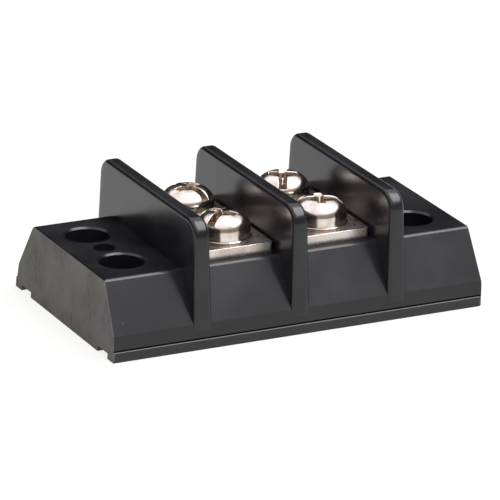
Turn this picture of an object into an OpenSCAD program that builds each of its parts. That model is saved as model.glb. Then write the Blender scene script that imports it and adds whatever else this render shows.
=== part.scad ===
// Barrier terminal strip, two poles, cut from a moulded modular length.
// +X runs along the strip, +Z up, origin in the middle of the underside.

/* [Strip] */
// Distance from one barrier to the next, which is one pole
pitch = 17.46; // [16:0.01:20]
// Length of the strip at its underside
strip_length = 66.7; // [64:0.1:72]
// Width of the flat top
top_width = 27.9; // [26.5:0.1:29]
// Width over the bottom flange
flange_width = 38.9; // [38.5:0.1:41]
// Height of the flat top above the underside
top_height = 12.1; // [11.5:0.1:14]
// How far the sawn left end leans out at the bottom
sawn_lean = 0.75; // [0.2:0.05:1.2]
// Draft of the moulded right end
end_draft = 0.3; // [0.1:0.05:0.8]

/* [Barriers] */
// Overall height to the top of the barriers
barrier_height = 21.2; // [20:0.1:24]
// Width of a barrier across the strip, at its top
barrier_width = 37.1; // [36:0.1:37.4]
// Thickness of a barrier at its top
barrier_thickness = 2.6; // [2.4:0.1:3]
// Radius along a barrier's long edges
barrier_edge = 0.7; // [0.4:0.1:1.1]
// Outer radius of a barrier's upper corners
barrier_corner = 3.2; // [3.2:0.1:5]

/* [Holes] */
// Distance across the strip between the two holes of a cell
row_spacing = 13.5; // [13.2:0.1:14.5]
// Diameter of the pocket under each screw and at the strip's ends
pocket_diameter = 7.3; // [7.1:0.1:7.8]
// Depth of those pockets below the flat top
pocket_depth = 6.8; // [6.4:0.1:7.5]
// Diameter of the mounting holes that go on through the underside
mounting_hole = 4.4; // [4:0.1:5]
// Chamfer round the mouth of each pocket
mouth_chamfer = 0.3; // [0.1:0.05:0.4]
// How far the bars and their pockets sit to the right of the middle of their bays
bay_offset = 0.5; // [0:0.1:0.6]

/* [Terminal bars] */
// Width of a bar along the strip
bar_width = 12.7; // [11.5:0.1:13]
// Length of a bar across the strip
bar_length = 24.8; // [23.6:0.1:25.5]
// Thickness of a bar
bar_thickness = 1.7; // [1.5:0.1:2]
// Diameter of the collar drawn down round each tapped hole
collar_diameter = 6.6; // [6.2:0.1:6.8]
// Depth of that collar below the bar
collar_depth = 1.4; // [1:0.1:2]

/* [Screws] */
// Outside diameter of the thread
thread_diameter = 4.8; // [4.6:0.05:4.9]
// Length of the screw under its head
thread_length = 7.9; // [7.5:0.1:8.2]
// Diameter of the pan head
head_diameter = 9.4; // [8.8:0.1:9.6]
// Height of the pan head
head_height = 4.3; // [3.8:0.1:4.5]
// Width of the driver slot, and of the cross recess's wings
slot_width = 1.3; // [1:0.05:1.5]
// Depth of the driver slot
slot_depth = 1.5; // [1.2:0.1:1.8]

/* [Hidden] */
$fn = 64;

// overlap that makes cuts run clear of a face, and unions join
slack = 0.5;
// running clearance on the radius, between thread and tapped hole
thread_clearance = 0.05;

left_cell = -pitch / 2 + bay_offset;
right_cell = pitch / 2 + bay_offset;
end_cells = [-3 * pitch / 2, 3 * pitch / 2];
row = row_spacing / 2;

// side wall of the base: a slope down to the foot, then a near-vertical foot above the flange
foot_width = 37.5;
foot_height = 4.2;
flange_height = 1.7;
flange_step = 0.35;
flange_edge = 0.1;
seam_depth = 0.2;
top_edge_radius = 0.7;

// draft of a barrier from its top to its root inside the foot
barrier_root = 3;
root_thickening = 0.35;
root_widening = 0.6;
hull_sides = 32;

// worn top edge of the sawn end, and rounded corners of the moulded end in plan
worn_edge = 0.3;
end_corner = 1;

// underside channels, one along each long edge
channel_width = 3.8;
channel_depth = 0.9;
channel_place = 15.2;

// centre hole of a cell: blind in the end cells, through for the rivet in the others
mark_diameter = 3.7;
mark_depth = 1.2;
rivet_diameter = 3.1;
rivet_hole = 3.3;
rivet_head_diameter = 6;
rivet_head_height = 1;
rivet_recess_depth = 2;
rivet_bore = 1.9;
rivet_bore_depth = 3;
rivet_roll_diameter = 3.9;
rivet_roll_height = 0.5;

bar_corner = 0.6;
bar_top = top_height + bar_thickness;

// head: a thin bearing lip, an upright wall, a round shoulder, then a shallow crown
lip_height = 0.45;
lip_step = 0.2;
head_wall = 1.7;
head_shoulder = 2.7;
head_crown = 0.25;
shoulder_steps = 12;
thread_chamfer = 0.5;
cross_span = 5.6;
cross_floor_span = 1.8;
cross_depth = 2.4;
// how far each head has been turned, in degrees
slot_turns = [34, 111, -18, 64];

// points on an arc round a centre, from one angle to another
function arc(centre, radius, from, to, steps = 8) =
    [for (i = [0 : steps])
        let (a = from + (to - from) * i / steps)
        [centre[0] + radius * cos(a), centre[1] + radius * sin(a)]];

// same points seen in a mirror on the vertical axis, in reverse order
function mirrored(points) =
    [for (i = [len(points) - 1 : -1 : 0]) [-points[i][0], points[i][1]]];

// angle of the sloping side wall from the vertical
slope = atan((foot_width - top_width) / 2 / (top_height - foot_height));

// right-hand half of the base section, from the underside up to the flat top
half_section = concat(
    [
        [flange_width / 2, 0],
        [flange_width / 2, flange_height - flange_edge],
        [flange_width / 2 - flange_edge, flange_height],
        [flange_width / 2 - flange_step - seam_depth, flange_height],
        [flange_width / 2 - flange_step, flange_height + seam_depth],
        [foot_width / 2, foot_height]
    ],
    arc(
        [top_width / 2 - top_edge_radius * tan((90 - slope) / 2), top_height - top_edge_radius],
        top_edge_radius, slope, 90
    )
);

module base_section() {
    difference() {
        polygon(concat(half_section, mirrored(half_section)));
        for (side = [-1, 1])
            translate([side * channel_place - channel_width / 2, -slack])
                square([channel_width, channel_depth + slack]);
    }
}

// block beyond an end of the strip, with its inner face tilted by the end's lean
module end_cut(lean) {
    tilt = atan(lean / top_height);
    translate([strip_length / 2, 0, 0])
        rotate([0, -tilt, 0])
            translate([0, -flange_width, -flange_width / 2])
                cube([flange_width / 2, 2 * flange_width, 2 * flange_width]);
}

// what a rounded corner takes off the moulded end, seen in plan
module corner_cut(side) {
    translate([strip_length / 2 - end_corner, side * (flange_width / 2 - end_corner), -slack])
        rotate([0, 0, side > 0 ? 0 : -90])
            linear_extrude(top_height)
                difference() {
                    square(end_corner + slack);
                    circle(r = end_corner);
                }
}

module base_block() {
    difference() {
        translate([-strip_length / 2, 0, 0])
            rotate([90, 0, 90])
                linear_extrude(strip_length)
                    base_section();
        end_cut(end_draft);
        mirror([1, 0, 0])
            end_cut(sawn_lean);
        translate([sawn_lean - strip_length / 2, 0, top_height])
            rotate([0, 45, 0])
                cube([worn_edge * sqrt(2), flange_width, worn_edge * sqrt(2)], center = true);
        for (side = [-1, 1])
            corner_cut(side);
    }
}

// quarter ring that forms one side of a barrier's upper corner
module barrier_corner_ring(side, face) {
    translate([
        face * (barrier_thickness / 2 - barrier_edge),
        side * (barrier_width / 2 - barrier_corner),
        barrier_height - barrier_corner
    ])
        rotate([0, -90, 0])
            rotate([0, 0, side > 0 ? 0 : -90])
                rotate_extrude(angle = 90, $fn = hull_sides)
                    translate([barrier_corner - barrier_edge, 0])
                        circle(r = barrier_edge, $fn = hull_sides);
}

// upright plate with rounded edges, thicker and wider towards its root
module barrier() {
    root_half = barrier_thickness / 2 + root_thickening;
    root_reach = barrier_width / 2 + root_widening;
    hull()
        for (side = [-1, 1], face = [-1, 1]) {
            barrier_corner_ring(side, face);
            translate([
                face * (root_half - barrier_edge),
                side * (root_reach - barrier_edge),
                barrier_root
            ])
                cylinder(r = barrier_edge, h = slack, $fn = hull_sides);
        }
}

// chamfered pocket that opens upward at the flat top
module pocket() {
    radius = pocket_diameter / 2;
    translate([0, 0, top_height - pocket_depth])
        cylinder(r = radius, h = pocket_depth + slack);
    translate([0, 0, top_height - mouth_chamfer])
        cylinder(r1 = radius, r2 = radius + mouth_chamfer + slack, h = mouth_chamfer + slack);
}

module base_moulding() {
    color("#1b1b1d")
        difference() {
            union() {
                base_block();
                for (place = [-pitch, 0, pitch])
                    translate([place, 0, 0])
                        barrier();
            }
            for (cell = [end_cells[0], left_cell, right_cell, end_cells[1]], side = [-1, 1])
                translate([cell, side * row, 0])
                    pocket();
            for (cell = end_cells) {
                for (side = [-1, 1])
                    translate([cell, side * row, -slack])
                        cylinder(d = mounting_hole, h = top_height);
                translate([cell, 0, top_height - mark_depth])
                    cylinder(d = mark_diameter, h = mark_depth + slack);
            }
            for (cell = [left_cell, right_cell]) {
                translate([cell, 0, -slack])
                    cylinder(d = rivet_hole, h = top_height + 2 * slack);
                translate([cell, 0, -slack])
                    cylinder(d = rivet_head_diameter + 1, h = rivet_recess_depth + slack);
            }
        }
}

// flat bar with drawn collars round two tapped holes, and a plain centre hole
module terminal_bar(cell) {
    inset_width = bar_width - 2 * bar_corner;
    inset_length = bar_length - 2 * bar_corner;
    translate([cell, 0, top_height])
        difference() {
            union() {
                translate([-bar_width / 2, -inset_length / 2, 0])
                    cube([bar_width, inset_length, bar_thickness]);
                translate([-inset_width / 2, -bar_length / 2, 0])
                    cube([inset_width, bar_length, bar_thickness]);
                for (across = [-1, 1], along = [-1, 1])
                    translate([across * inset_width / 2, along * inset_length / 2, 0])
                        cylinder(r = bar_corner, h = bar_thickness);
                for (side = [-1, 1])
                    translate([0, side * row, -collar_depth])
                        cylinder(d = collar_diameter, h = collar_depth + bar_thickness / 2);
            }
            for (side = [-1, 1])
                translate([0, side * row, -collar_depth - slack])
                    cylinder(
                        d = thread_diameter + 2 * thread_clearance,
                        h = collar_depth + bar_thickness + 2 * slack
                    );
            translate([0, 0, -slack])
                cylinder(d = rivet_hole, h = bar_thickness + 2 * slack);
        }
}

// tubular rivet: head in the underside recess, its open end rolled over the bar
module bar_rivet(cell) {
    head_seat = rivet_recess_depth;
    length = bar_top - head_seat;
    translate([cell, 0, head_seat])
        difference() {
            union() {
                translate([0, 0, -rivet_head_height])
                    cylinder(d = rivet_head_diameter, h = rivet_head_height);
                cylinder(d = rivet_diameter, h = length + rivet_roll_height);
                translate([0, 0, length])
                    rotate_extrude()
                        polygon(concat(
                            [[0, 0], [rivet_roll_diameter / 2, 0]],
                            arc(
                                [rivet_roll_diameter / 2 - rivet_roll_height, 0],
                                rivet_roll_height, 0, 90
                            ),
                            [[0, rivet_roll_height]]
                        ));
            }
            translate([0, 0, length + rivet_roll_height - rivet_bore_depth])
                cylinder(d = rivet_bore, h = rivet_bore_depth + slack);
        }
}

// half of the head's outline: lip, wall, then an elliptical shoulder that the crown domes
function head_outline() =
    let (
        lip = head_diameter / 2,
        wall = lip - lip_step,
        flat = wall - head_shoulder,
        shoulder_rise = head_height - head_wall - head_crown
    )
    concat(
        [[0, 0], [lip, 0], [lip, lip_height], [wall, lip_height]],
        [for (i = [0 : shoulder_steps])
            let (a = 90 * i / shoulder_steps)
            let (r = flat + head_shoulder * cos(a))
            [r, head_wall + shoulder_rise * sin(a) + head_crown * (1 - pow(r / wall, 2))]],
        [[0, head_height]]
    );

// one pair of the cross recess's wings, narrower at the floor than at the mouth
module cross_wing() {
    rotate([90, 0, 0])
        translate([0, 0, -slot_width / 2])
            linear_extrude(slot_width)
                polygon([
                    [-cross_floor_span / 2, -cross_depth],
                    [cross_floor_span / 2, -cross_depth],
                    [cross_span / 2, slack],
                    [-cross_span / 2, slack]
                ]);
}

module screw(cell, side, turn) {
    color("#cfc6ba")
        translate([cell, side * row, bar_top])
            difference() {
                union() {
                    rotate_extrude()
                        polygon(head_outline());
                    translate([0, 0, thread_chamfer - thread_length])
                        cylinder(d = thread_diameter, h = thread_length - thread_chamfer + lip_height);
                    translate([0, 0, -thread_length])
                        cylinder(
                            d1 = thread_diameter - 2 * thread_chamfer,
                            d2 = thread_diameter,
                            h = thread_chamfer
                        );
                }
                translate([0, 0, head_height])
                    rotate([0, 0, turn]) {
                        translate([-head_diameter, -slot_width / 2, -slot_depth])
                            cube([2 * head_diameter, slot_width, slot_depth + slack]);
                        cross_wing();
                        rotate([0, 0, 90])
                            cross_wing();
                    }
            }
}

module terminal_bar_left() { color("#c9bfb2") terminal_bar(left_cell); }
module terminal_bar_right() { color("#c9bfb2") terminal_bar(right_cell); }
module bar_rivet_left() { color("#b8ada0") bar_rivet(left_cell); }
module bar_rivet_right() { color("#b8ada0") bar_rivet(right_cell); }
module screw_left_near() { screw(left_cell, -1, slot_turns[0]); }
module screw_left_far() { screw(left_cell, 1, slot_turns[1]); }
module screw_right_near() { screw(right_cell, -1, slot_turns[2]); }
module screw_right_far() { screw(right_cell, 1, slot_turns[3]); }

base_moulding();
terminal_bar_left();
terminal_bar_right();
bar_rivet_left();
bar_rivet_right();
screw_left_near();
screw_left_far();
screw_right_near();
screw_right_far();
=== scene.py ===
import math

import bpy
import numpy as np
from mathutils import Matrix, Vector


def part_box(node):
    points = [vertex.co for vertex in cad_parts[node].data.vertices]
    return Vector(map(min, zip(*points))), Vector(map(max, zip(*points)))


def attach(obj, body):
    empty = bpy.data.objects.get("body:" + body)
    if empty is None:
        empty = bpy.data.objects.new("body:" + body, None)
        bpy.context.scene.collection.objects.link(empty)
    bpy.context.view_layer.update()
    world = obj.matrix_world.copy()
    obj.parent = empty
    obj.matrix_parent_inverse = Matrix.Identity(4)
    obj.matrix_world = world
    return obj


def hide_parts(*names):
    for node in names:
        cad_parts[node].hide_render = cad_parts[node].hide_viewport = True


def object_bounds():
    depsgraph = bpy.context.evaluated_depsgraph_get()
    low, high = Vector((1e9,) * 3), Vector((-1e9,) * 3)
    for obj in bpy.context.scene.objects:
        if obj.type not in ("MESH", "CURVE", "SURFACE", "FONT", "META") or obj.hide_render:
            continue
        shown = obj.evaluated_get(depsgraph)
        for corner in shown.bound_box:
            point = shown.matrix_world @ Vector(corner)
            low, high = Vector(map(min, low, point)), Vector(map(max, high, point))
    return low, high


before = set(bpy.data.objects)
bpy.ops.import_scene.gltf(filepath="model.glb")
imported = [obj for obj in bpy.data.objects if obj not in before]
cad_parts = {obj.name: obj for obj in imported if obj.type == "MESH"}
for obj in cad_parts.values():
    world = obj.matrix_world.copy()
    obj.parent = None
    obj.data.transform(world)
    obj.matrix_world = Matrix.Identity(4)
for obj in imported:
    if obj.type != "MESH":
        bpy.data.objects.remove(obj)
cad_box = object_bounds()

MM = 0.001
PER_MM = 1000.0


# ---------------------------------------------------------------------------
# Camera. A long lens, a little above the strip and off its left front corner,
# held with a slight roll. It looks at the middle of the strip.
# ---------------------------------------------------------------------------
camera_azimuth = math.radians(26.449)
camera_elevation = math.radians(19.75)
camera_roll = math.radians(1.128)
camera_distance = 764.2 * MM
camera_aim = Vector((0.003, -0.163, 8.047)) * MM
camera_lens = 335.1
sensor_width = 36.0

back = Vector((
    -math.sin(camera_azimuth) * math.cos(camera_elevation),
    -math.cos(camera_azimuth) * math.cos(camera_elevation),
    math.sin(camera_elevation),
))
level = Vector((math.cos(camera_azimuth), -math.sin(camera_azimuth), 0.0))
upright = back.cross(level)
right = level * math.cos(camera_roll) + upright * math.sin(camera_roll)
up = upright * math.cos(camera_roll) - level * math.sin(camera_roll)

camera_data = bpy.data.cameras.new("long_lens")
camera_data.sensor_width = sensor_width
camera_data.lens = camera_lens
camera_data.clip_start = 0.05
camera_data.clip_end = 20.0
camera = bpy.data.objects.new("camera", camera_data)
camera.matrix_world = Matrix.Translation(camera_aim + back * camera_distance) @ Matrix(
    (right, up, back)
).transposed().to_4x4()
bpy.context.scene.collection.objects.link(camera)
bpy.context.scene.camera = camera
bpy.context.scene.view_settings.view_transform = "Standard"


# ---------------------------------------------------------------------------
# Floor and light. A pale table top in a white tent: a soft box overhead, and
# tent walls that are bright above and dim near the table. The table reads as
# clean white where it is seen, or mirrored, and keeps the strip's soft shadow.
# ---------------------------------------------------------------------------
floor_size = 6.0
floor_white = "#fefefb"
floor_paper = "#e9e8e6"
shadow_share = 0.16
softbox_aim = Vector((0.34, -0.20, 0.92)).normalized()
softbox_distance = 0.9
softbox_size = 0.75
softbox_watts = 9.0
tent_high = "#f4f0fb"
tent_high_strength = 1.5
tent_low = "#fff4e8"
tent_low_strength = 0.32
tent_back_strength = 0.03
tent_edge = (math.sin(math.radians(27)), math.sin(math.radians(42)))
tent_back_edge = (-0.1, 0.5)


def linear(hex_colour):
    """The linear-light RGBA of an sRGB hex colour: each channel is undone with the sRGB curve."""
    channels = np.array([int(hex_colour[i:i + 2], 16) for i in (1, 3, 5)]) / 255.0
    low = channels / 12.92
    high = ((channels + 0.055) / 1.055) ** 2.4
    return (*np.where(channels <= 0.04045, low, high).tolist(), 1.0)


def add_node(tree, kind, inputs=None, **settings):
    """Adds one node. Settings are its own options; inputs are values or sockets to link."""
    node = tree.nodes.new(kind)
    for name, value in settings.items():
        setattr(node, name, value)
    for name, value in (inputs or {}).items():
        if isinstance(value, bpy.types.NodeSocket):
            tree.links.new(value, node.inputs[name])
        else:
            node.inputs[name].default_value = value
    return node


def clean_background_rays(tree):
    """1 for a ray from the camera, off a mirror or through glass, and 0 for rays that light."""
    path = add_node(tree, "ShaderNodeLightPath")
    seen = add_node(
        tree, "ShaderNodeMath",
        {0: path.outputs["Is Camera Ray"], 1: path.outputs["Is Glossy Ray"]},
        operation="MAXIMUM",
    )
    return add_node(
        tree, "ShaderNodeMath", {0: seen.outputs[0], 1: path.outputs["Is Transmission Ray"]},
        operation="MAXIMUM",
    ).outputs[0]


floor_mesh = bpy.data.meshes.new("table_top")
half = floor_size / 2
floor_mesh.from_pydata(
    [(-half, -half, 0.0), (half, -half, 0.0), (half, half, 0.0), (-half, half, 0.0)],
    [],
    [(0, 1, 2, 3)],
)
floor = bpy.data.objects.new("table_top", floor_mesh)
bpy.context.scene.collection.objects.link(floor)

paper = bpy.data.materials.new("matt_white_paper")
paper.use_nodes = True
tree = paper.node_tree
tree.nodes.clear()
sheet = add_node(tree, "ShaderNodeBsdfDiffuse", {"Color": linear(floor_paper)})
glow = add_node(tree, "ShaderNodeEmission", {"Color": linear(floor_white), "Strength": 1.0})
share = add_node(
    tree, "ShaderNodeMath", {0: clean_background_rays(tree), 1: 1.0 - shadow_share},
    operation="MULTIPLY",
)
mixed = add_node(
    tree, "ShaderNodeMixShader", {0: share.outputs[0], 1: sheet.outputs[0], 2: glow.outputs[0]}
)
add_node(tree, "ShaderNodeOutputMaterial", {"Surface": mixed.outputs[0]})
floor_mesh.materials.append(paper)

world = bpy.data.worlds.new("white_tent")
bpy.context.scene.world = world
world.use_nodes = True
tree = world.node_tree
tree.nodes.clear()
direction = add_node(
    tree, "ShaderNodeSeparateXYZ", {0: add_node(tree, "ShaderNodeTexCoord").outputs["Generated"]}
)
height = add_node(
    tree, "ShaderNodeMapRange",
    {0: direction.outputs["Z"], 1: tent_edge[0], 2: tent_edge[1], 3: 0.0, 4: 1.0},
    interpolation_type="SMOOTHSTEP",
)
behind = add_node(
    tree, "ShaderNodeMapRange",
    {0: direction.outputs["Y"], 1: tent_back_edge[0], 2: tent_back_edge[1], 3: 0.0, 4: 1.0},
    interpolation_type="SMOOTHSTEP",
)
low_strength = add_node(
    tree, "ShaderNodeMapRange",
    {0: behind.outputs[0], 1: 0.0, 2: 1.0, 3: tent_low_strength, 4: tent_back_strength},
)
tent_low_light = add_node(
    tree, "ShaderNodeBackground", {"Color": linear(tent_low), "Strength": low_strength.outputs[0]}
)
tent_high_light = add_node(
    tree, "ShaderNodeBackground", {"Color": linear(tent_high), "Strength": tent_high_strength}
)
tent = add_node(
    tree, "ShaderNodeMixShader",
    {0: height.outputs[0], 1: tent_low_light.outputs[0], 2: tent_high_light.outputs[0]},
)
white = add_node(tree, "ShaderNodeBackground", {"Color": linear(floor_white), "Strength": 1.0})
camera_ray = add_node(tree, "ShaderNodeLightPath").outputs["Is Camera Ray"]
sky = add_node(
    tree, "ShaderNodeMixShader", {0: camera_ray, 1: tent.outputs[0], 2: white.outputs[0]}
)
add_node(tree, "ShaderNodeOutputWorld", {"Surface": sky.outputs[0]})

softbox_data = bpy.data.lights.new("soft_box", "AREA")
softbox_data.shape = "SQUARE"
softbox_data.size = softbox_size
softbox_data.energy = softbox_watts
softbox = bpy.data.objects.new("soft_box", softbox_data)
softbox_turn = softbox_aim.to_track_quat("Z", "Y").to_matrix().to_4x4()
softbox.matrix_world = Matrix.Translation(softbox_aim * softbox_distance) @ softbox_turn
bpy.context.scene.collection.objects.link(softbox)


# ---------------------------------------------------------------------------
# Base moulding with its three barriers: glossy black thermoplastic, moulded as
# one long strip and sawn to length, so the left end shows the dull saw cut.
# Its CAD solid is kept; its edges get the small radius of the mould.
# ---------------------------------------------------------------------------
mould_edge = 0.12 * MM
smooth_angle = math.radians(16)
plastic_black = "#131315"
plastic_worn = "#1d1d20"
speck_grey = "#8f8d88"
sawn_grey = "#5c5b55"
sawn_dark = "#2e2e2b"
sawn_lean = 0.75
sawn_height = 12.1
sawn_slope = sawn_lean / sawn_height
cut_start = 0.10 * MM
cut_fade = 0.05 * MM
whole_flat_angle = 0.002
cloud_grain = 9.0
wave_grain = 7.0
blotch_grain = 5.0
speck_spacing = 2.2
teeth_grain = 0.35
teeth_stretch = 7
polished_roughness = (0.20, 0.28)
sawn_roughness = 0.5


def smooth_by_angle(angle):
    """A modifier's node group: smooth shading, save across edges sharper than the angle."""
    group = bpy.data.node_groups.new("smooth_by_angle", "GeometryNodeTree")
    group.interface.new_socket("Geometry", in_out="INPUT", socket_type="NodeSocketGeometry")
    group.interface.new_socket("Geometry", in_out="OUTPUT", socket_type="NodeSocketGeometry")
    source = add_node(group, "NodeGroupInput")
    faces = add_node(
        group, "GeometryNodeSetShadeSmooth", {"Geometry": source.outputs[0], "Shade Smooth": True},
        domain="FACE",
    )
    edge = add_node(group, "GeometryNodeInputMeshEdgeAngle")
    blunt = add_node(
        group, "FunctionNodeCompare", {0: edge.outputs["Unsigned Angle"], 1: angle},
        data_type="FLOAT", operation="LESS_EQUAL",
    )
    edges = add_node(
        group, "GeometryNodeSetShadeSmooth",
        {"Geometry": faces.outputs[0], "Shade Smooth": blunt.outputs[0]},
        domain="EDGE",
    )
    add_node(group, "NodeGroupOutput", {0: edges.outputs[0]})
    return group


shading_group = smooth_by_angle(smooth_angle)


def ease_edges(piece, width, segments=3):
    """Joins a solid's loose triangles, makes its flats whole, and rounds its sharp edges."""
    joined = piece.modifiers.new("join_triangles", "WELD")
    joined.merge_threshold = 0.001 * MM
    flats = piece.modifiers.new("whole_flats", "DECIMATE")
    flats.decimate_type = "DISSOLVE"
    flats.angle_limit = whole_flat_angle
    shading = piece.modifiers.new("smooth_curves", "NODES")
    shading.node_group = shading_group
    eased = piece.modifiers.new("eased_edges", "BEVEL")
    eased.width = width
    eased.segments = segments
    eased.limit_method = "ANGLE"
    eased.angle_limit = smooth_angle
    eased.use_clamp_overlap = True
    weighted = piece.modifiers.new("flats_stay_flat", "WEIGHTED_NORMAL")
    weighted.mode = "FACE_AREA"
    weighted.weight = 80
    weighted.keep_sharp = True


def new_material(name):
    """A material, its tree, its Principled shader, and each point's object coordinates."""
    material = bpy.data.materials.new(name)
    material.use_nodes = True
    tree = material.node_tree
    tree.nodes.clear()
    shader = add_node(tree, "ShaderNodeBsdfPrincipled")
    add_node(tree, "ShaderNodeOutputMaterial", {"Surface": shader.outputs[0]})
    place = add_node(tree, "ShaderNodeTexCoord").outputs["Object"]
    return material, tree, shader, place


# glossy black thermoplastic: the mould's polish, faint flow waviness, and dust
plastic, tree, shader, place = new_material("gloss_black_thermoplastic")
axes = add_node(tree, "ShaderNodeSeparateXYZ", {0: place})
leaned = add_node(
    tree, "ShaderNodeMath", {0: axes.outputs["Z"], 1: -sawn_slope, 2: axes.outputs["X"]},
    operation="MULTIPLY_ADD",
)
cut_place = cad_box[0][0] + cut_start
sawn = add_node(
    tree, "ShaderNodeMapRange",
    {0: leaned.outputs[0], 1: cut_place + cut_fade, 2: cut_place, 3: 0.0, 4: 1.0},
).outputs[0]

cloud = add_node(
    tree, "ShaderNodeTexNoise",
    {"Vector": place, "Scale": PER_MM / cloud_grain, "Detail": 4.0},
).outputs["Fac"]
specks = add_node(
    tree, "ShaderNodeTexVoronoi", {"Vector": place, "Scale": PER_MM / speck_spacing}
)
speck_size = add_node(
    tree, "ShaderNodeMapRange", {0: specks.outputs["Distance"], 1: 0.045, 2: 0.03}
)
speck_chance = add_node(tree, "ShaderNodeSeparateColor", {0: specks.outputs["Color"]})
speck_pick = add_node(
    tree, "ShaderNodeMapRange", {0: speck_chance.outputs[0], 1: 0.86, 2: 0.88}
)
speck = add_node(
    tree, "ShaderNodeMath", {0: speck_size.outputs[0], 1: speck_pick.outputs[0]},
    operation="MULTIPLY",
)
worn = add_node(tree, "ShaderNodeMapRange", {0: cloud, 1: 0.4, 2: 0.65})
polished = add_node(
    tree, "ShaderNodeMix",
    {0: worn.outputs[0], 6: linear(plastic_black), 7: linear(plastic_worn)}, data_type="RGBA",
)
dusty = add_node(
    tree, "ShaderNodeMix",
    {0: speck.outputs[0], 6: polished.outputs[2], 7: linear(speck_grey)}, data_type="RGBA",
)

drawn_out = add_node(
    tree, "ShaderNodeMapping", {"Vector": place, "Scale": [1.0, 1.0, 1.0 / teeth_stretch]}
)
teeth = add_node(
    tree, "ShaderNodeTexNoise",
    {"Vector": drawn_out.outputs[0], "Scale": PER_MM / teeth_grain, "Detail": 3.0},
).outputs["Fac"]
blotch = add_node(
    tree, "ShaderNodeTexNoise",
    {"Vector": place, "Scale": PER_MM / blotch_grain, "Detail": 5.0},
).outputs["Fac"]
tooth_share = add_node(tree, "ShaderNodeMapRange", {0: teeth, 1: 0.3, 2: 0.7})
scored = add_node(
    tree, "ShaderNodeMix",
    {0: tooth_share.outputs[0], 6: linear(sawn_dark), 7: linear(sawn_grey)}, data_type="RGBA",
)
blotch_share = add_node(tree, "ShaderNodeMapRange", {0: blotch, 1: 0.35, 2: 0.7})
cut = add_node(
    tree, "ShaderNodeMix",
    {0: blotch_share.outputs[0], 6: linear(sawn_grey), 7: scored.outputs[2]}, data_type="RGBA",
)
surface = add_node(
    tree, "ShaderNodeMix", {0: sawn, 6: dusty.outputs[2], 7: cut.outputs[2]}, data_type="RGBA"
)
tree.links.new(surface.outputs[2], shader.inputs["Base Color"])

gloss = add_node(
    tree, "ShaderNodeMapRange",
    {0: cloud, 1: 0.35, 2: 0.7, 3: polished_roughness[0], 4: polished_roughness[1]},
)
matt = add_node(tree, "ShaderNodeMapRange", {0: sawn, 3: 0.0, 4: sawn_roughness})
roughness = add_node(
    tree, "ShaderNodeMath", {0: gloss.outputs[0], 1: matt.outputs[0]}, operation="ADD"
)
tree.links.new(roughness.outputs[0], shader.inputs["Roughness"])
shader.inputs["IOR"].default_value = 1.5

swell = add_node(
    tree, "ShaderNodeTexNoise",
    {"Vector": place, "Scale": PER_MM / wave_grain, "Detail": 2.0},
)
wave = add_node(
    tree, "ShaderNodeBump",
    {"Strength": 0.25, "Distance": 0.05 * MM, "Height": swell.outputs["Fac"]},
)
grain_depth = add_node(tree, "ShaderNodeMapRange", {0: sawn, 3: 0.03, 4: 1.0}).outputs[0]
grain = add_node(
    tree, "ShaderNodeBump",
    {
        "Strength": grain_depth,
        "Distance": 0.06 * MM,
        "Height": teeth,
        "Normal": wave.outputs[0],
    },
)
tree.links.new(grain.outputs[0], shader.inputs["Normal"])

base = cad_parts["base_moulding"]
ease_edges(base, mould_edge)
base.data.materials.clear()
base.data.materials.append(plastic)


# ---------------------------------------------------------------------------
# Terminal bars and their rivets: stamped brass with a dull nickel plate. Each
# bar joins two screws across the strip and is held down by a tubular rivet.
# ---------------------------------------------------------------------------
stamped_edge = 0.28 * MM
rolled_edge = 0.08 * MM
nickel_dull = "#ddd4ce"
nickel_tarnished = "#b9aaa0"
tarnish_grain = 4.0
rolling_grain = 0.12
rolling_stretch = 16
bar_roughness = (0.22, 0.36)

# dull nickel on brass: a soft sheen with faint rolling lines and patches of tarnish
bar_nickel, tree, shader, place = new_material("dull_nickel_on_brass")
tarnish = add_node(
    tree, "ShaderNodeTexNoise",
    {"Vector": place, "Scale": PER_MM / tarnish_grain, "Detail": 4.0},
)
tarnish_share = add_node(
    tree, "ShaderNodeMapRange", {0: tarnish.outputs["Fac"], 1: 0.4, 2: 0.7}
)
nickel = add_node(
    tree, "ShaderNodeMix",
    {0: tarnish_share.outputs[0], 6: linear(nickel_dull), 7: linear(nickel_tarnished)},
    data_type="RGBA",
)
tree.links.new(nickel.outputs[2], shader.inputs["Base Color"])
along_bar = add_node(
    tree, "ShaderNodeMapping", {"Vector": place, "Scale": [1.0, 1.0 / rolling_stretch, 1.0]}
)
rolling = add_node(
    tree, "ShaderNodeTexNoise",
    {"Vector": along_bar.outputs[0], "Scale": PER_MM / rolling_grain, "Detail": 2.0},
).outputs["Fac"]
bar_gloss = add_node(
    tree, "ShaderNodeMapRange",
    {0: rolling, 1: 0.3, 2: 0.7, 3: bar_roughness[0], 4: bar_roughness[1]},
)
tree.links.new(bar_gloss.outputs[0], shader.inputs["Roughness"])
shader.inputs["Metallic"].default_value = 1.0
scratch = add_node(
    tree, "ShaderNodeBump", {"Strength": 0.15, "Distance": 0.01 * MM, "Height": rolling}
)
tree.links.new(scratch.outputs[0], shader.inputs["Normal"])

for side in ("left", "right"):
    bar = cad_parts[f"terminal_bar_{side}"]
    ease_edges(bar, stamped_edge)
    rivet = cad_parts[f"bar_rivet_{side}"]
    ease_edges(rivet, rolled_edge)
    for piece in (bar, rivet):
        piece.data.materials.clear()
        piece.data.materials.append(bar_nickel)


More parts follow.
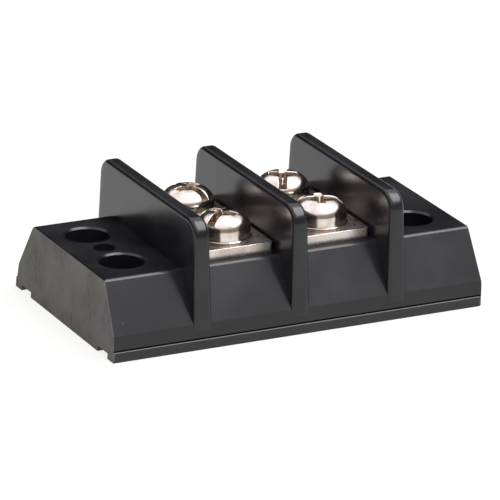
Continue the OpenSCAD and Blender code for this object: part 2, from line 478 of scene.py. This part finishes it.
# ---------------------------------------------------------------------------
# Binding screws: cold-headed steel with bright nickel plate. The pan head has
# a slot combined with a cross recess over a thin bearing lip; the thread is
# rolled. Each one is a single closed skin and turns to its own angle.
# ---------------------------------------------------------------------------
lip_radius = 4.7
lip_height = 0.45
wall_radius = 4.5
wall_height = 1.7
shoulder = 2.7
head_height = 4.3
crown = 0.25
recess_width = 1.3
slot_depth = 1.5
cross_depth = 2.4
cross_floor_half = 0.9
cross_mouth_half = 2.47
recess_edge = 0.14
thread_crest = 2.4
thread_root = 1.98
thread_pitch = 0.794
thread_length = 7.9
thread_taper = 0.6
tip_narrowing = 0.75
crease_angle = math.radians(38)
slot_turns = {"left_near": 34.0, "left_far": 111.0, "right_near": -18.0, "right_far": 64.0}


def spoke_angles(radius):
    """Angle of every spoke at each radius, and how far each lies outside the recess wall beside it.

    A spoke beside a recess wall keeps a set distance from the middle of its wing, so its angle is
    the arcsine of that distance over the radius, held to 45 degrees where four wings meet."""
    half_width = recess_width / 2
    inner = np.array([-0.7, 0.0, 0.7]) * half_width
    beside = half_width + recess_edge * np.array([0.0, 0.0, 0.25, 0.6, 1.0])
    land = np.linspace(0.0, 1.0, 16)[1:-1]
    quarter = math.pi / 2

    def held(distance):
        return np.clip(
            np.arcsin(np.clip(distance[None, :] / np.maximum(radius, 1e-6)[:, None], -1, 1)),
            -quarter / 2, quarter / 2,
        )

    wing = held(inner)
    wall = held(beside)
    edge = wall[:, -1:]
    plain = edge + land[None, :] * (quarter - 2 * edge)
    sector = np.concatenate([wing, wall, plain, quarter - wall[:, ::-1]], axis=1)
    outside = np.concatenate([
        np.full(3, -1.0), beside - half_width, np.full(len(land), recess_edge),
        (beside - half_width)[::-1],
    ])
    # the first of the two spokes on a wall is its foot, the second its brink
    foot = np.zeros(sector.shape[1], bool)
    foot[[3, sector.shape[1] - 1]] = True
    angles = np.concatenate([sector + quarter * k for k in range(4)], axis=1)
    return angles, np.tile(outside, 4), np.tile(foot, 4)


def head_top(radius):
    """Height of the uncut head at a radius.

    It is an ellipse over the shoulder, plus a shallow parabola for the crown."""
    flat = wall_radius - shoulder
    reach = np.clip((radius - flat) / shoulder, 0.0, 1.0)
    rise = head_height - wall_height - crown
    return wall_height + rise * np.sqrt(1 - reach ** 2) + crown * (1 - (radius / wall_radius) ** 2)


def recess_floor(radius, angles):
    """Height of the recess floor.

    It is flat along the slot's own line, and slopes up at the ends of the cross."""
    along = np.abs(radius[:, None] * np.cos(angles))
    across = np.abs(radius[:, None] * np.sin(angles))
    reach = np.maximum(along, across)
    slope = cross_depth / (cross_mouth_half - cross_floor_half)
    cross = head_height - cross_depth + slope * np.clip(reach - cross_floor_half, 0, None)
    slot = np.where(along >= across, head_height - slot_depth, np.inf)
    return np.minimum(cross, slot)


def screw_skin(turn):
    """Points and faces of one screw about its own axis, from the crown out, down and in to the tip.

    Every ring is at one radius; a ring's heights come from the head, the recess or the thread."""
    inner = np.array([0.22, 0.45, 0.68, 0.919, 1.0, 1.15, 1.3, 1.45, 1.6, 1.8])
    sweep = np.linspace(90.0, 0.0, 40)[1:]
    outer = wall_radius - shoulder + shoulder * np.cos(np.radians(sweep))
    radius = np.concatenate([inner, outer])
    angles, outside, foot = spoke_angles(radius)

    land = head_top(radius)[:, None]
    rounding = np.clip(recess_edge - outside, 0, recess_edge)[None, :]
    brink = land - (recess_edge - np.sqrt(np.maximum(recess_edge ** 2 - rounding ** 2, 0)))
    floor_height = np.minimum(recess_floor(radius, angles), land)
    in_recess = (outside < 0) | foot
    heights = np.where(in_recess[None, :], floor_height, np.maximum(brink, floor_height))

    last = angles[-1]
    side_profile = np.array([
        (wall_radius, 1.25), (wall_radius, 0.85), (wall_radius, lip_height + 0.08),
        (wall_radius + 0.03, lip_height), (lip_radius - 0.06, lip_height),
        (lip_radius, lip_height - 0.07), (lip_radius, 0.07), (lip_radius - 0.07, 0.0),
        (3.6, 0.0), (thread_crest + 0.02, 0.0),
    ])
    rows = [np.stack(np.broadcast_arrays(
        radius[:, None] * np.cos(angles), radius[:, None] * np.sin(angles), heights
    ), axis=-1)]
    rows.append(np.stack(np.broadcast_arrays(
        side_profile[:, :1] * np.cos(last), side_profile[:, :1] * np.sin(last), side_profile[:, 1:]
    ), axis=-1))

    depth = np.linspace(0.02, thread_length, 150)[:, None]
    phase = (depth / thread_pitch + last[None, :] / (2 * math.pi)) % 1.0
    ridge = np.clip(1.25 - 2.75 * np.abs(phase - 0.5), 0.0, 1.0)
    run_out = np.clip((thread_length - depth) / thread_taper, 0.0, 1.0)
    thread = thread_root + (thread_crest - thread_root) * ridge
    thread = np.minimum(thread, thread_crest - tip_narrowing * (1 - run_out))
    rows.append(np.stack(np.broadcast_arrays(
        thread * np.cos(last), thread * np.sin(last), -depth
    ), axis=-1))

    rings = np.concatenate(rows)
    count, spokes = rings.shape[:2]
    crown_point = [[0.0, 0.0, head_height - cross_depth]]
    tip_point = [[0.0, 0.0, -thread_length]]
    points = np.concatenate([crown_point, rings.reshape(-1, 3), tip_point])

    ring = 1 + np.arange(count)[:, None] * spokes
    here = np.arange(spokes)[None, :]
    there = (here + 1) % spokes
    quads = np.stack(np.broadcast_arrays(
        ring[:-1] + here, ring[1:] + here, ring[1:] + there, ring[:-1] + there
    ), axis=-1).reshape(-1, 4)
    cap = [[0, 1 + a, 1 + b] for a, b in zip(here[0], there[0])]
    base_ring = int(ring[-1, 0])
    end = [[len(points) - 1, base_ring + b, base_ring + a] for a, b in zip(here[0], there[0])]

    spin = math.radians(turn)
    turned = points.copy()
    turned[:, 0] = points[:, 0] * math.cos(spin) - points[:, 1] * math.sin(spin)
    turned[:, 1] = points[:, 0] * math.sin(spin) + points[:, 1] * math.cos(spin)
    return turned, quads.tolist() + np.array(cap + end).tolist()


nickel_bright = "#e2dad0"
nickel_warm = "#c4b5a4"
smudge_grain = 2.2
dent_grain = 1.1
screw_roughness = (0.12, 0.24)

# bright nickel on steel: near mirrors, broken up by smudges and small dents
screw_nickel, tree, shader, place = new_material("bright_nickel_on_steel")
smudge = add_node(
    tree, "ShaderNodeTexNoise",
    {"Vector": place, "Scale": PER_MM / smudge_grain, "Detail": 4.0},
).outputs["Fac"]
smudge_share = add_node(tree, "ShaderNodeMapRange", {0: smudge, 1: 0.42, 2: 0.68})
plating = add_node(
    tree, "ShaderNodeMix",
    {0: smudge_share.outputs[0], 6: linear(nickel_bright), 7: linear(nickel_warm)},
    data_type="RGBA",
)
tree.links.new(plating.outputs[2], shader.inputs["Base Color"])
screw_gloss = add_node(
    tree, "ShaderNodeMapRange",
    {0: smudge, 1: 0.35, 2: 0.7, 3: screw_roughness[0], 4: screw_roughness[1]},
)
tree.links.new(screw_gloss.outputs[0], shader.inputs["Roughness"])
shader.inputs["Metallic"].default_value = 1.0
dimples = add_node(
    tree, "ShaderNodeTexNoise",
    {"Vector": place, "Scale": PER_MM / dent_grain, "Detail": 2.0},
)
dents = add_node(
    tree, "ShaderNodeBump",
    {"Strength": 0.3, "Distance": 0.03 * MM, "Height": dimples.outputs["Fac"]},
)
tree.links.new(dents.outputs[0], shader.inputs["Normal"])

for name, turn in slot_turns.items():
    low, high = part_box(f"screw_{name}")
    seat = np.array([(low.x + high.x) / 2, (low.y + high.y) / 2, high.z - head_height * MM])
    points, faces = screw_skin(turn)
    mesh = bpy.data.meshes.new(f"binding_screw_{name}")
    mesh.from_pydata(points * MM + seat, [], faces)
    mesh.shade_smooth()
    mesh.set_sharp_from_angle(angle=crease_angle)
    mesh.materials.append(screw_nickel)
    screw = bpy.data.objects.new(f"binding_screw_{name}", mesh)
    bpy.context.scene.collection.objects.link(screw)
    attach(screw, f"screw_{name}")
    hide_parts(f"screw_{name}")
